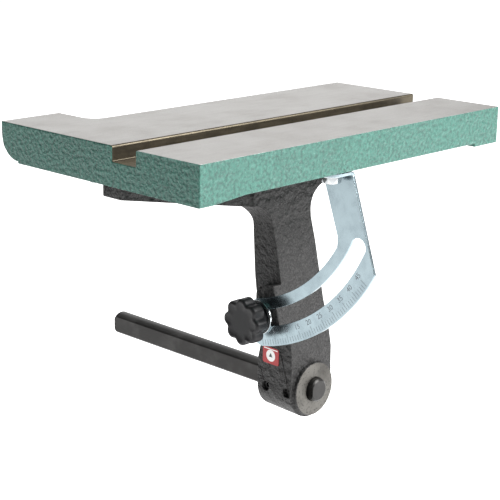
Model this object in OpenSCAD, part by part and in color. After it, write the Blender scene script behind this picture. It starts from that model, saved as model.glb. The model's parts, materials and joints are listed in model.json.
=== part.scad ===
// Tilting work table for a disc and belt sander: a cast-iron table with a mitre slot,
// hung from a cast support arm on two pivot bolts, with a slotted angle quadrant,
// a clamping knob and a round support shaft.
// Origin: on the shaft's axis, where the shaft leaves the rear of the arm's hub.
// +X runs along the table, +Y from the front edge towards the machine, +Z up.

/* [Table] */
// Length of the table along X
table_l = 264; // [240:1:300]
// Depth of the table from its front edge to its far edge
table_d = 134.6; // [125:0.1:150]
// Length along X of the tab at the table's left end
tab_l = 43; // [30:1:60]
// Distance the tab reaches beyond the far edge
tab_d = 31.2; // [15:0.1:45]
// Radius in the corner between the tab and the far edge
tab_fillet = 9; // [4:1:12]
// Distance from the table's left end to the middle of the arm
table_left = 152; // [146:1:164]
// Distance from the table's front edge to the rear face of the hub
table_front = 84; // [80:1:88]
// Height of the working surface above the shaft's axis
table_z = 175; // [172:1:190]
// Thickness of the table's plate
plate_t = 7.5; // [6:0.5:7.5]
// Height of the front and far ribs, measured from the working surface
rib_h = 21; // [18:0.5:24]
// Extra height of the end ribs and of the front rib's two feet
end_rib_drop = 2; // [1:0.5:4]
// Distance of the quadrant's boss below the front rib
boss_drop = 1; // [0.5:0.5:2]
// Thickness of the ribs round the edge
rib_t = 8; // [6:0.5:10]
// Length of the deeper foot at the right end of the front rib, and of the left one's slope
foot_l = 24; // [16:1:30]
// Distance of the left foot's slope from the table's end
foot_slope = 10; // [4:1:16]
// Radius that relieves the lower corner of the far edge
relief_r = 14.5; // [10:0.5:16]
// Thickness of the stiffening ribs under the plate
web_t = 5; // [4:0.5:7]

/* [Mitre slot] */
// Width of the mitre slot
slot_w = 19.05; // [16:0.01:19.5]
// Depth of the mitre slot
slot_depth = 9; // [7:0.1:9.5]
// Distance from the front edge to the near wall of the slot
slot_front = 48.6; // [44:0.1:52]
// Thickness of iron left under the slot
slot_floor_t = 4; // [3:0.1:4.5]
// Thickness of iron left beside the slot, under the plate
slot_cheek_t = 4; // [3:0.1:4.5]
// Chamfer along the slot's upper edges
slot_chamfer = 0.8; // [0.4:0.1:1.2]

/* [Pivot] */
// Distance from the rear face of the hub to the tilt axis
pivot_y = 13.5; // [12:0.1:15]
// Distance of the tilt axis below the working surface
pivot_drop = 18.5; // [18:0.1:20]
// Diameter of the pivot bolts
pivot_d = 10; // [8:0.1:10.5]
// Radial clearance between a pivot bolt and the table's lug
pivot_clearance = 0.05; // [0.03:0.01:0.09]
// Width of the hexagon of a pivot bolt, across its flats
pivot_head_af = 16; // [13:0.5:17]
// Height of the hexagon of a pivot bolt
pivot_head_h = 6.4; // [5:0.1:7]
// Length of a pivot bolt inside the arm
pivot_grip = 22; // [14:1:30]
// Thickness of each table lug
lug_t = 7; // [5:0.5:9]
// Outer radius of each table lug
lug_r = 10; // [9:0.1:10.5]
// Gap between a lug and the end of the arm, and between a lug and its washer
side_gap = 0.3; // [0.15:0.05:0.6]
// Diameter of the flat washer on a pivot bolt
pivot_washer_d = 21; // [18:0.5:21.5]
// Thickness of the flat washer on a pivot bolt
pivot_washer_t = 1.6; // [1.2:0.1:2.2]
// Thickness of the split spring washer on a pivot bolt
pivot_spring_t = 2.2; // [1.6:0.1:2.6]

/* [Support arm] */
// Reach of the arm to the left of its middle
arm_left = 124; // [116:1:128]
// Reach of the arm to the right of its middle
arm_right = 84; // [74:1:88]
// Radius of the arm's rounded crown about the tilt axis
crown_r = 9; // [8:0.1:9]
// Height of the arm's underside to the left of the leg
arm_under_z = 120; // [114:1:126]
// Height of the arm's underside to the right of the leg
arm_right_under_z = 126; // [118:1:128]
// Height of the arm's underside at its two ends
arm_end_under_z = 135.5; // [130:0.5:140]
// Width of the leg below the arm
leg_top_w = 36; // [32:0.5:42]
// Radius of the fillets between the leg and the arm
leg_fillet = 16; // [10:0.5:18]
// Outer diameter of the hub at its front
hub_d = 38.5; // [35.5:0.5:42]
// Outer diameter of the hub at its rear, less by the casting's draft
hub_rear_d = 36.5; // [34:0.5:40]
// Length of the hub's casting
hub_l = 30.1; // [26:0.1:34]
// Diameter of the machined face on the front of the hub
hub_face_d = 35; // [32:0.5:37]
// Height of the machined face
hub_face_t = 3; // [1:0.1:4]
// Width of the clamping pad on the leg, along Y
pad_w = 23; // [20:0.5:25]
// Gap between the clamping pad and the quadrant
pad_gap = 0.1; // [0.05:0.05:0.3]

/* [Support shaft] */
// Diameter of the support shaft
shaft_d = 16; // [14:0.1:17]
// Clearance between the shaft's seat and the hub's bore, on the radius
shaft_clearance = 0.02; // [0.01:0.01:0.05]
// Amount the seat inside the hub is turned down, on the radius
shaft_seat_step = 0.5; // [0.3:0.1:1]
// Length of the shaft behind the hub
shaft_free_l = 154; // [120:1:180]
// Distance the shaft stands out of the hub's front face
shaft_proud = 4; // [2:0.5:8]
// Depth of the flat that the set screws bear on
shaft_flat = 2.1; // [1:0.1:2.3]
// Chamfer at each end of the shaft
shaft_chamfer = 1.2; // [0.5:0.1:2]
// Diameter of the set screws
set_screw_d = 6; // [5:0.1:7]
// Length of the set screws
set_screw_l = 10; // [8:0.5:11]
// Distance of the rear set screw in front of the hub's rear face
set_screw_rear = 7.5; // [6:0.1:9]
// Distance between the two set screws
set_screw_pitch = 18.5; // [12:0.1:19]
// Width of their hexagon sockets across the flats
socket_af = 3; // [2:0.5:3]

/* [Quadrant] */
// Thickness of the quadrant's sheet steel
sheet_t = 2; // [1.6:0.1:2.4]
// Distance from the leg's middle to the outer face of the quadrant
quadrant_x = 27.5; // [27:0.1:30]
// Radius of the quadrant's inner edge about the tilt axis
quadrant_in_r = 98.4; // [96:0.1:101]
// Radius of the middle of the curved slot
quadrant_slot_r = 111.1; // [110:0.1:113]
// Radius of the quadrant's outer edge
quadrant_out_r = 128.9; // [127:0.1:133]
// Clearance of the stud in the curved slot, on the slot's width
quadrant_slot_play = 2.8; // [2.4:0.1:3.5]
// Largest tilt of the table
tilt_range = 45; // [30:1:45]
// Angle of the clamping stud in front of straight down
stud_angle = 12.3; // [12:0.1:15]
// Distance from the tilt axis to the clamping stud
stud_r = 110.1; // [110:0.1:112.2]
// Spare travel of the stud past 0 degrees, as an angle
slot_spare = 2.2; // [1.5:0.1:3]
// Spare travel of the stud past the largest tilt, as an angle
slot_far_spare = 7.4; // [3:0.1:7.4]
// Radius of the flange's round end about the quadrant's bolt
flange_r = 8.5; // [7.5:0.5:10]
// Outer radius of the flange's bend
bend_r = 3; // [2.6:0.1:4]
// Radius of the quadrant's toe, under the knob
toe_r = 8; // [5:0.5:10]

/* [Quadrant bolt] */
// Diameter of the quadrant's bolt
bolt_d = 6; // [5:0.1:7]
// Width of its hexagon across the flats
bolt_af = 10; // [9:0.5:12]
// Height of its hexagon
bolt_head_h = 4; // [3.5:0.1:5]
// Distance of the bolt from the front edge of the table
bolt_front = 11.2; // [11:0.1:13]
// Distance of the bolt from the leg's middle, towards -X
bolt_x = 36.2; // [34:0.1:42]
// Diameter of its flat washer
bolt_washer_d = 12; // [11:0.5:14]
// Thickness of its flat washer
bolt_washer_t = 1; // [0.8:0.1:1.6]
// Length of the bolt inside the table's boss
bolt_thread_l = 12; // [8:0.5:13]
// Radius of the boss that the bolt is screwed into
boss_r = 7.8; // [6.5:0.1:9]
// Angle at which the tightened hexagon came to rest
bolt_turn = 44; // [0:1:59]

/* [Clamping knob] */
// Diameter of the knob across its lobes
knob_d = 30; // [26:1:36]
// Number of lobes
knob_lobes = 8; // [5:1:9]
// Thickness of the lobed head
knob_head_t = 9; // [8:0.5:12]
// Length of the tapered neck between the head and the washer
knob_neck_l = 6.5; // [4:0.5:8]
// Diameter of the neck at the washer
knob_neck_d = 17; // [15:0.5:18]
// Diameter of the clamping stud
stud_d = 8; // [6:0.1:8.5]
// Length of the stud inside the leg
stud_grip = 16; // [12:1:20]
// Radial clearance round the stud in the leg and in the washer
stud_clearance = 0.06; // [0.03:0.01:0.09]
// Diameter of the threaded insert in the knob
insert_d = 12; // [10:0.5:12.5]
// Diameter of the clamping washer
clamp_washer_d = 22; // [18:0.5:24]
// Thickness of the clamping washer
clamp_washer_t = 1.6; // [1:0.1:2.4]

/* [Index label] */
// Width of the label on the leg, along Y
label_w = 14; // [10:0.5:16]
// Height of the label
label_h = 11; // [8:0.5:14]
// Radius of the label's corners
label_r = 1.5; // [0.5:0.5:4]
// Thickness of the label
label_t = 0.3; // [0.2:0.05:0.5]

/* [Hidden] */
$fn = 96;

// Colours
iron_green = [0.42, 0.68, 0.60];
cast_black = [0.20, 0.20, 0.19];
oiled_steel = [0.16, 0.16, 0.16];
zinc = [0.78, 0.82, 0.86];
knob_black = [0.08, 0.08, 0.09];
label_red = [0.75, 0.12, 0.10];

eps = 0.01;             // overlap that keeps cutting bodies clear of coplanar faces
thread_gap = 0.03;      // radial gap between a screw and its tapped hole
edge_break = 1.2;       // chamfer on turned and pressed edges
edge_step = 0.1;        // step where a round end meets an edge

// Table, seen in the shared frame
left_x = -table_left;
right_x = table_l - table_left;
front_y = -table_front;
far_y = table_d - table_front;
tab_y = far_y + tab_d;
tab_x = left_x + tab_l;
plate_under = table_z - plate_t;
rib_under = table_z - rib_h;
end_under = rib_under - end_rib_drop;

// Mitre slot
slot_y0 = front_y + slot_front;
slot_y1 = slot_y0 + slot_w;
slot_floor_z = table_z - slot_depth;
channel_under = slot_floor_z - slot_floor_t;

// Tilt axis and what turns about it
pivot_z = table_z - pivot_drop;
left_lug_x = -arm_left - side_gap - lug_t;
right_lug_x = arm_right + side_gap;
pivot_stack = side_gap + pivot_washer_t + pivot_spring_t;

// Arm and leg
arm_front = -8.5;                             // front of the arm beside the leg
arm_front_end = 10;                           // front of the arm at its ends
arm_rear = 25;                                // rear of the arm
hub_front = -hub_l;
rear_w = hub_rear_d / 2;                      // half width of the hub and leg at the rear
leg_front_line = [[-15, 91], [-23, 53], [-28.5, 33], [hub_front, 24]]; // Y and Z, downwards
bore_r = shaft_d / 2 - shaft_seat_step + shaft_clearance;
face_front = hub_front - hub_face_t;
leg_w = [leg_top_w / 2, hub_d / 2];           // half width at the top and at the hub
fillet_z = arm_under_z - leg_fillet;          // where the left fillet begins
right_fillet_z = arm_right_under_z - leg_fillet;
chin_z = pivot_z - 15.5;                      // below this the arm's front is upright

// Label and set screws
label_y = -12.2;
label_z = 21.6;
set_screw_y = [set_screw_rear, set_screw_rear + set_screw_pitch];

// Clamping stud and quadrant
stud_y = pivot_y - stud_r * sin(stud_angle);
stud_z = pivot_z - stud_r * cos(stud_angle);
inner_face_x = -(quadrant_x - sheet_t);       // face of the quadrant that the pad supports
quadrant_slot_w = stud_d + quadrant_slot_play;
slot_start = stud_angle - slot_spare;
slot_end = stud_angle + tilt_range + slot_far_spare;
corner_angle = slot_end - 3.4;                // where the outer edge meets the upright
toe_angle = stud_angle - 4;                   // where the outer edge ends under the knob
toe_inner_r = quadrant_in_r + toe_r + edge_step;
toe_outer_r = quadrant_out_r - toe_r - edge_step;
inner_end_angle = slot_end - 4;               // where the inner edge meets the upright
flange_top = rib_under - boss_drop;           // the flange bears on the table's boss
bend_x = inner_face_x - bend_r;               // centre of the bend
bend_z = flange_top - bend_r;                 // where the upright ends and the bend begins
bolt_y = front_y + bolt_front;
upright_y0 = bolt_y - flange_r - edge_step;   // front edge of the upright, at its top
upright_y1 = front_y + 26;                    // rear edge of the upright, at its top

// Knob: its neck starts knob_base out from the quadrant's outer face
knob_base = pad_gap + clamp_washer_t;
insert_l = knob_neck_l + 4;
stud_in_knob = insert_l - 1;

// A point at a radius and an angle in front of straight down, seen along X
function below_pivot(radius, angle) =
    [pivot_y - radius * sin(angle), pivot_z - radius * cos(angle)];

corner = below_pivot(quadrant_out_r, corner_angle);  // where the front edge meets the ring

// Points on an arc in the order of the angles
function arc(centre, radius, from, to, steps = 10) =
    [for (i = [0 : steps]) let (a = from + (to - from) * i / steps)
        centre + radius * [cos(a), sin(a)]];

// An outline drawn in Y and Z, drawn out along X from x0 to x1
module along_x(x0, x1) {
    translate([x0, 0, 0]) rotate([90, 0, 90]) linear_extrude(x1 - x0) children();
}

// An outline drawn in X and Z, drawn out along Y from y0 to y1
module along_y(y0, y1) {
    translate([0, y1, 0]) rotate([90, 0, 0]) linear_extrude(y1 - y0) children();
}

// A cylinder along X that starts at x0
module rod_x(x0, length, diameter) {
    translate([x0, 0, 0]) rotate([0, 90, 0]) cylinder(h = length, d = diameter);
}

// A hexagon across the flats, drawn up along Z with its outer corners turned off
module hex_head(across_flats, height) {
    corner_d = across_flats / cos(30);
    intersection() {
        cylinder(h = height, d = corner_d, $fn = 6);
        rotate_extrude() polygon([[0, 0], [corner_d / 2, 0], [corner_d / 2, height - 0.8],
            [across_flats / 2 - 0.6, height], [0, height]]);
    }
}

// A flat washer along Z
module washer(outer_d, inner_d, thickness) {
    difference() {
        cylinder(h = thickness, d = outer_d);
        translate([0, 0, -eps]) cylinder(h = thickness + 2 * eps, d = inner_d);
    }
}

// A spring washer along Z, with its slanted split
module spring_washer(outer_d, inner_d, thickness) {
    split = 1.2;
    difference() {
        washer(outer_d, inner_d, thickness);
        translate([inner_d / 4, 0, thickness / 2]) rotate([-20, 0, 0])
            translate([0, -split / 2, -thickness]) cube([outer_d, split, 2 * thickness]);
    }
}

// ---- Table ----------------------------------------------------------------

// The table's outline, moved in by inset; the tab's inner corner keeps its fillet
module table_outline(inset) {
    x0 = left_x + inset;
    x1 = right_x - inset;
    y0 = front_y + inset;
    y1 = far_y - inset;
    tx = tab_x - inset;
    ty = tab_y - inset;
    r = tab_fillet;
    polygon(concat([[x0, y0], [x1, y0], [x1, y1]],
        arc([tx + r, y1 + r], r, 270, 180), [[tx, ty], [x0, ty]]));
}

// The rounded relief along the lower corner of a far edge at y
module far_relief(x0, x1, y) {
    along_x(x0, x1) difference() {
        translate([y - relief_r, end_under - eps])
            square([relief_r + 1, plate_under - end_under + eps]);
        translate([y - relief_r, plate_under]) circle(r = relief_r);
    }
}

// The lug that holds one pivot bolt, from x0 to x0 + lug_t
module pivot_lug(x0) {
    along_x(x0, x0 + lug_t) {
        translate([pivot_y, pivot_z]) circle(r = lug_r);
        polygon([[pivot_y - lug_r, pivot_z], [pivot_y + lug_r, pivot_z],
            [pivot_y + lug_r + 4, plate_under + 1], [pivot_y - lug_r - 4, plate_under + 1]]);
    }
}

module lug_bore(x0) {
    translate([0, pivot_y, pivot_z])
        rod_x(x0 - 1, lug_t + 2, pivot_d + 2 * pivot_clearance);
}

// Ribs under the plate that miss the arm at every tilt
module table_webs() {
    rear_y = pivot_y + 16;
    for (x = [left_x + table_l / 4, left_x + table_l * 0.72]) {
        translate([x, front_y + rib_t / 2, rib_under + 3])
            cube([web_t, slot_front - rib_t, rib_h - plate_t - 2]);
        translate([x, rear_y, rib_under + 3])
            cube([web_t, far_y - rear_y - rib_t / 2, rib_h - plate_t - 2]);
    }
}

module table_body() {
    plate_slab = plate_t + eps;
    difference() {
        union() {
            translate([0, 0, plate_under]) linear_extrude(plate_t) table_outline(0);
            difference() {
                translate([0, 0, end_under])
                    linear_extrude(plate_under - end_under + eps) table_outline(0);
                translate([0, 0, end_under - 1])
                    linear_extrude(plate_slab + rib_h) table_outline(rib_t);
                // between its feet the front rib is shallower, and so is the far rib
                along_y(front_y - 1, front_y + rib_t + 1) polygon([
                    [left_x + foot_slope, end_under - 1], [left_x + foot_slope, end_under],
                    [left_x + foot_slope + foot_l, rib_under], [right_x - foot_l, rib_under],
                    [right_x - foot_l, end_under - 1]]);
                translate([tab_x + eps, far_y - rib_t - 1, end_under - 1])
                    cube([table_l - tab_l - rib_t, rib_t + 2, end_rib_drop + 1]);
            }
            translate([left_x, slot_y0 - slot_cheek_t, channel_under])
                cube([table_l, slot_w + 2 * slot_cheek_t, plate_under - channel_under + eps]);
            table_webs();
            pivot_lug(left_lug_x);
            pivot_lug(right_lug_x);
            translate([-bolt_x, bolt_y, flange_top])
                cylinder(h = plate_under - flange_top + eps, r = boss_r);
        }
        // the slot, with its chamfered edges
        along_x(left_x - 1, right_x + 1) polygon([
            [slot_y0, slot_floor_z], [slot_y1, slot_floor_z], [slot_y1, table_z - slot_chamfer],
            [slot_y1 + slot_chamfer + eps, table_z + eps],
            [slot_y0 - slot_chamfer - eps, table_z + eps], [slot_y0, table_z - slot_chamfer]]);
        far_relief(left_x - 1, tab_x + 1, tab_y);
        far_relief(tab_x + tab_fillet, right_x + 1, far_y);
        lug_bore(left_lug_x);
        lug_bore(right_lug_x);
        translate([-bolt_x, bolt_y, flange_top - 1])
            cylinder(h = bolt_thread_l + 2, d = bolt_d + 2 * thread_gap);
    }
}

module table_top() {
    color(iron_green) table_body();
}

// ---- Support arm ----------------------------------------------------------

// The crossbar seen from the front: its underside rises towards both ends
module crossbar_front_view() {
    flare = leg_w[0] + leg_fillet;
    polygon([[flare, arm_right_under_z], [arm_right, arm_end_under_z], [arm_right, table_z],
        [-arm_left, table_z], [-arm_left, arm_end_under_z], [-flare, arm_under_z]]);
}

// The leg seen from the front, flaring into the crossbar
module leg_front_view() {
    flare = leg_w[0] + leg_fillet;
    polygon(concat(
        [[leg_w[1], 0]], arc([flare, right_fillet_z], leg_fillet, 180, 90),
        [[flare, chin_z], [-flare, chin_z]],
        arc([-flare, fillet_z], leg_fillet, 90, 0), [[-leg_w[1], 0]]));
}

// The crossbar seen from the side: its crown stays inside the swing of the table
module crossbar_side_view() {
    translate([pivot_y, pivot_z]) circle(r = crown_r);
    polygon([[arm_front, fillet_z], [arm_front, chin_z],
        [pivot_y - 19, pivot_z - 6.4], below_pivot(crown_r, 135),
        [pivot_y, pivot_z + crown_r - 1], [pivot_y + crown_r, pivot_z],
        [arm_rear, pivot_z - 6], [arm_rear, fillet_z]]);
}

// The crossbar seen from above: its front runs back towards each end
module crossbar_plan() {
    straight = leg_w[0] + leg_fillet;
    polygon([[-arm_left, arm_front_end], [-straight, arm_front], [straight, arm_front],
        [arm_right, arm_front_end], [arm_right, arm_rear], [-arm_left, arm_rear]]);
}

// The leg seen from above, with the draft that lets it leave the mould
module leg_plan() {
    polygon([[-rear_w, arm_rear], [-rear_w, 0], [-leg_w[1], hub_front],
        [leg_w[1], hub_front], [rear_w, 0], [rear_w, arm_rear]]);
}

// What the leg keeps within: its plan below the fillets, and room for them above
module leg_envelope() {
    flare = leg_w[0] + leg_fillet;
    translate([0, 0, -eps]) linear_extrude(fillet_z + 2 * eps) leg_plan();
    translate([-flare, hub_front, fillet_z])
        cube([2 * flare, arm_rear - hub_front, chin_z - fillet_z]);
}

// The leg seen from the side, from the hub up into the crossbar
module leg_side_view() {
    rear_fillet = 12;
    rear_top = 6;
    polygon(concat(
        [[0, 0], [0, 17], [-2.5, 28], [3.5, 70]],
        arc([rear_top + rear_fillet, fillet_z], rear_fillet, 180, 100),
        [[rear_top + rear_fillet, chin_z], [arm_front, chin_z],
         [arm_front - 2.5, fillet_z + 2]], leg_front_line, [[hub_front, 0]]));
}

// The pad on the leg that backs the quadrant, seen from the side
module pad_side_view() {
    pad_front = -27.5;
    r = 6;
    hull() {
        translate([pad_front + r, 65]) circle(r = r, $fn = 32);
        translate([pad_front + pad_w - r, 62]) circle(r = r, $fn = 32);
        translate([pad_front, 36]) square([pad_w, 1]);
    }
}

module arm_casting() {
    difference() {
        union() {
            intersection() {
                along_y(arm_front, arm_rear) crossbar_front_view();
                along_x(-arm_left, arm_right) crossbar_side_view();
                translate([0, 0, fillet_z]) linear_extrude(table_z - fillet_z) crossbar_plan();
            }
            // round ends that carry the pivot bolts
            translate([0, pivot_y, pivot_z]) {
                rod_x(-arm_left, pivot_grip + 6, 2 * crown_r);
                rod_x(arm_right - pivot_grip - 6, pivot_grip + 6, 2 * crown_r);
            }
            intersection() {
                leg_envelope();
                along_y(hub_front, arm_rear) leg_front_view();
                along_x(-leg_w[0] - leg_fillet, leg_w[0] + leg_fillet) leg_side_view();
            }
            rotate([90, 0, 0]) cylinder(h = hub_l, d1 = hub_rear_d, d2 = hub_d);
            rotate([90, 0, 0]) cylinder(h = hub_l + hub_face_t, d = hub_face_d);
            intersection() {
                along_x(inner_face_x + pad_gap, 0) pad_side_view();
                along_x(inner_face_x, 0) polygon(concat(leg_front_line,
                    [[0, leg_front_line[3][1]], [0, leg_front_line[0][1]]]));
            }
        }
        // shaft bore and the two tapped holes that reach it
        translate([0, 1, 0]) rotate([90, 0, 0])
            cylinder(h = hub_l + hub_face_t + 2, r = bore_r);
        for (y = set_screw_y) translate([-hub_d / 2 - 1, -y, 0])
            rod_x(0, hub_d / 2 + 1, set_screw_d + 2 * thread_gap);
        // tapped hole for the clamping stud
        translate([0, stud_y, stud_z])
            rod_x(inner_face_x - 1, stud_grip + 3, stud_d + 2 * stud_clearance);
        // tapped holes for the pivot bolts
        translate([0, pivot_y, pivot_z]) {
            rod_x(-arm_left - 1, pivot_grip + 3, pivot_d + 2 * thread_gap);
            rod_x(arm_right - pivot_grip - 2, pivot_grip + 3, pivot_d + 2 * thread_gap);
        }
    }
}

module support_arm() {
    color(cast_black) arm_casting();
}

// ---- Support shaft --------------------------------------------------------

module support_shaft() {
    r = shaft_d / 2;
    seat_r = r - shaft_seat_step;
    front = face_front - shaft_proud;
    color(oiled_steel) difference() {
        rotate([-90, 0, 0]) rotate_extrude() polygon([
            [0, front], [seat_r - shaft_chamfer, front], [seat_r, front + shaft_chamfer],
            [seat_r, 0], [r, 0], [r, shaft_free_l - shaft_chamfer],
            [r - shaft_chamfer, shaft_free_l], [0, shaft_free_l]]);
        translate([-r - 1, front - 1, -r - 1])
            cube([shaft_flat + 1, shaft_free_l - front + 2, shaft_d + 2]);
    }
}

// Both socket set screws, tightened on the shaft's flat
module shaft_set_screws() {
    tip_x = -(shaft_d / 2 - shaft_flat);
    color(oiled_steel) for (y = set_screw_y) translate([tip_x, -y, 0]) rotate([0, -90, 0])
        difference() {
            rotate_extrude() polygon([[0, 0], [set_screw_d / 2 - 1, 0], [set_screw_d / 2, 1],
                [set_screw_d / 2, set_screw_l - 0.5], [set_screw_d / 2 - 0.5, set_screw_l],
                [0, set_screw_l]]);
            translate([0, 0, set_screw_l - 3])
                cylinder(h = 4, d = socket_af / cos(30), $fn = 6);
        }
}

// ---- Quadrant -------------------------------------------------------------

// A ring about the tilt axis between two radii and two angles, seen from the side
module ring_sector(r0, r1, from, to) {
    reach = 2 * r1;
    middle = (from + to) / 2;
    intersection() {
        translate([pivot_y, pivot_z]) difference() {
            circle(r = r1, $fn = 180);
            circle(r = r0, $fn = 180);
        }
        polygon([[pivot_y, pivot_z], below_pivot(reach, from), below_pivot(reach, middle),
            below_pivot(reach, to)]);
    }
}

// The quadrant's rounded toe, under the knob. Its circles stand edge_step inside the
// ring's edges, so that no edge only touches another.
module quadrant_toe() {
    for (radius = [toe_inner_r, toe_outer_r])
        translate(below_pivot(radius, toe_angle + asin(toe_r / radius))) circle(r = toe_r);
    ring_sector(toe_inner_r, toe_outer_r, toe_angle + 0.1, stud_angle);
}

// The upright, whose rear edge curves into the ring
module upright_side_view() {
    inner = below_pivot(quadrant_in_r, inner_end_angle);
    polygon([[upright_y0 - 2, bend_z], corner - [2, 0],
        below_pivot(quadrant_in_r + 6, corner_angle - 2),
        below_pivot(quadrant_in_r + 1, inner_end_angle - 3),
        below_pivot(quadrant_in_r - 0.4, inner_end_angle - 1),
        inner + [1, 4], inner + [2.2, 7.4], [upright_y1, bend_z]]);
}

// The quadrant's face seen from the side: upright, ring and curved slot
module quadrant_side_view() {
    slot_r0 = quadrant_slot_r - quadrant_slot_w / 2;
    slot_r1 = quadrant_slot_r + quadrant_slot_w / 2;
    front_edge = [upright_y0, bend_z] - corner;
    difference() {
        intersection() {
            union() {
                ring_sector(quadrant_in_r, quadrant_out_r,
                    toe_angle + asin(toe_r / toe_inner_r), corner_angle + 3);
                quadrant_toe();
                upright_side_view();
            }
            // behind the straight front edge
            polygon([corner + 1.2 * front_edge, corner - 1.5 * front_edge,
                [pivot_y, 0], [pivot_y, table_z]]);
        }
        ring_sector(slot_r0, slot_r1, slot_start, slot_end);
        for (a = [slot_start, slot_end]) translate(below_pivot(quadrant_slot_r, a))
            circle(d = quadrant_slot_w + 2 * edge_step);
    }
}

// The flange seen from above: a tab with a round end about the bolt
module flange_plan() {
    translate([-bolt_x, bolt_y]) circle(r = flange_r);
    translate([-bolt_x, bolt_y - flange_r])
        square([bolt_x + bend_x, 2 * flange_r]);
}

module quadrant_plate() {
    color(zinc) difference() {
        union() {
            along_x(-quadrant_x, inner_face_x) quadrant_side_view();
            along_y(bolt_y - flange_r, bolt_y + flange_r) intersection() {
                difference() {
                    translate([bend_x, bend_z]) circle(r = bend_r);
                    translate([bend_x, bend_z]) circle(r = bend_r - sheet_t);
                }
                translate([bend_x, bend_z]) square(bend_r);
            }
            translate([0, 0, flange_top - sheet_t]) linear_extrude(sheet_t) flange_plan();
        }
        translate([-bolt_x, bolt_y, flange_top - sheet_t - 1])
            cylinder(h = sheet_t + 2, d = bolt_d + 0.6);
    }
}

// The quadrant's bolt hangs under the flange, so its parts are stacked downwards
module under_flange(drop) {
    translate([-bolt_x, bolt_y, flange_top - sheet_t - drop]) rotate([180, 0, 0]) children();
}

module quadrant_flat_washer() {
    color(zinc) under_flange(0) washer(bolt_washer_d, bolt_d + 0.6, bolt_washer_t);
}

module quadrant_bolt() {
    shank = bolt_washer_t + sheet_t + bolt_thread_l;
    color(zinc) under_flange(bolt_washer_t) rotate([0, 0, bolt_turn]) {
        hex_head(bolt_af, bolt_head_h);
        translate([0, 0, -shank]) cylinder(h = shank + 1, d = bolt_d);
    }
}

// ---- Pivot bolts ----------------------------------------------------------

// Places a stack that starts at the outer face of a lug; side is -1 left, 1 right
module outside_lug(side, distance) {
    face = side < 0 ? left_lug_x : right_lug_x + lug_t;
    translate([face + side * distance, pivot_y, pivot_z]) rotate([0, side * 90, 0]) children();
}

module pivot_bolt(side) {
    shank = pivot_stack + lug_t + side_gap + pivot_grip;
    color(zinc) outside_lug(side, pivot_stack) {
        hex_head(pivot_head_af, pivot_head_h);
        translate([0, 0, -shank]) rotate_extrude() polygon([[0, 0],
            [pivot_d / 2 - edge_break, 0], [pivot_d / 2, edge_break],
            [pivot_d / 2, shank + 1], [0, shank + 1]]);
    }
}

module pivot_flat(side) {
    color(zinc) outside_lug(side, side_gap)
        washer(pivot_washer_d, pivot_d + 0.5, pivot_washer_t);
}

module pivot_spring(side) {
    color(zinc) outside_lug(side, side_gap + pivot_washer_t)
        spring_washer(pivot_d + 7, pivot_d + 0.5, pivot_spring_t);
}

module left_pivot_bolt() { pivot_bolt(-1); }
module left_pivot_washer() { pivot_flat(-1); }
module left_pivot_spring_washer() { pivot_spring(-1); }
module right_pivot_bolt() { pivot_bolt(1); }
module right_pivot_washer() { pivot_flat(1); }
module right_pivot_spring_washer() { pivot_spring(1); }

// ---- Clamping knob --------------------------------------------------------

// Places a stack that starts on the quadrant's outer face and grows towards -X
module on_quadrant(distance) {
    translate([-quadrant_x - distance, stud_y, stud_z]) rotate([0, -90, 0]) children();
}

module clamp_washer() {
    color(zinc) on_quadrant(pad_gap)
        washer(clamp_washer_d, stud_d + 2 * stud_clearance, clamp_washer_t);
}

module clamp_stud() {
    reach = knob_base + sheet_t + pad_gap + stud_grip;
    color(zinc) on_quadrant(knob_base - reach) rotate_extrude() polygon([[0, 0],
        [stud_d / 2 - edge_break, 0], [stud_d / 2, edge_break],
        [stud_d / 2, reach + stud_in_knob], [0, reach + stud_in_knob]]);
}

module knob_insert() {
    color(zinc) on_quadrant(knob_base) difference() {
        rotate_extrude() polygon([[0, 0], [insert_d / 2 - 0.4, 0], [insert_d / 2, 0.4],
            [insert_d / 2, insert_l], [0, insert_l]]);
        translate([0, 0, -1]) cylinder(h = stud_in_knob + 1, d = stud_d + 2 * thread_gap);
    }
}

// One scallop between two lobes, cut through the head
module scallop() {
    scallop_r = knob_d * 0.13;
    translate([knob_d / 2 + scallop_r * 0.35, 0, knob_neck_l - 2])
        cylinder(h = knob_head_t + 4, r = scallop_r);
}

module clamp_knob() {
    r = knob_d / 2;
    top = knob_neck_l + knob_head_t;
    neck_top_d = knob_neck_d + 4;
    color(knob_black) on_quadrant(knob_base) difference() {
        rotate_extrude() polygon(concat(
            [[0, 0], [knob_neck_d / 2, 0], [neck_top_d / 2, knob_neck_l - 1],
             [r - 2.5, knob_neck_l]],
            arc([r - 2, knob_neck_l + 2], 2, -90, 0, 4),
            arc([r - 2.5, top - 2.5], 2.5, 0, 90, 4),
            [[0, top]]));
        for (i = [0 : knob_lobes - 1]) rotate([0, 0, (i + 0.5) * 360 / knob_lobes]) scallop();
        translate([0, 0, -1]) cylinder(h = insert_l + 1, d = insert_d);
    }
}

// ---- Index label ----------------------------------------------------------

// A thin label on the leg's left face, below the quadrant
module index_label() {
    corner = [label_w, label_h] / 2 - [label_r, label_r];
    // the casting's draft turns the face a little to the rear
    draft = atan((leg_w[1] - rear_w) / hub_l);
    face_x = -rear_w + label_y * tan(draft);
    color(label_red) translate([face_x, label_y, label_z]) rotate([0, 0, -draft])
        rotate([0, -90, 0]) linear_extrude(label_t) {
            square([label_h - 2 * label_r, label_w], center = true);
            square([label_h, label_w - 2 * label_r], center = true);
            for (i = [-1, 1], j = [-1, 1])
                translate([i * corner[1], j * corner[0]]) circle(r = label_r);
        }
}

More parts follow.
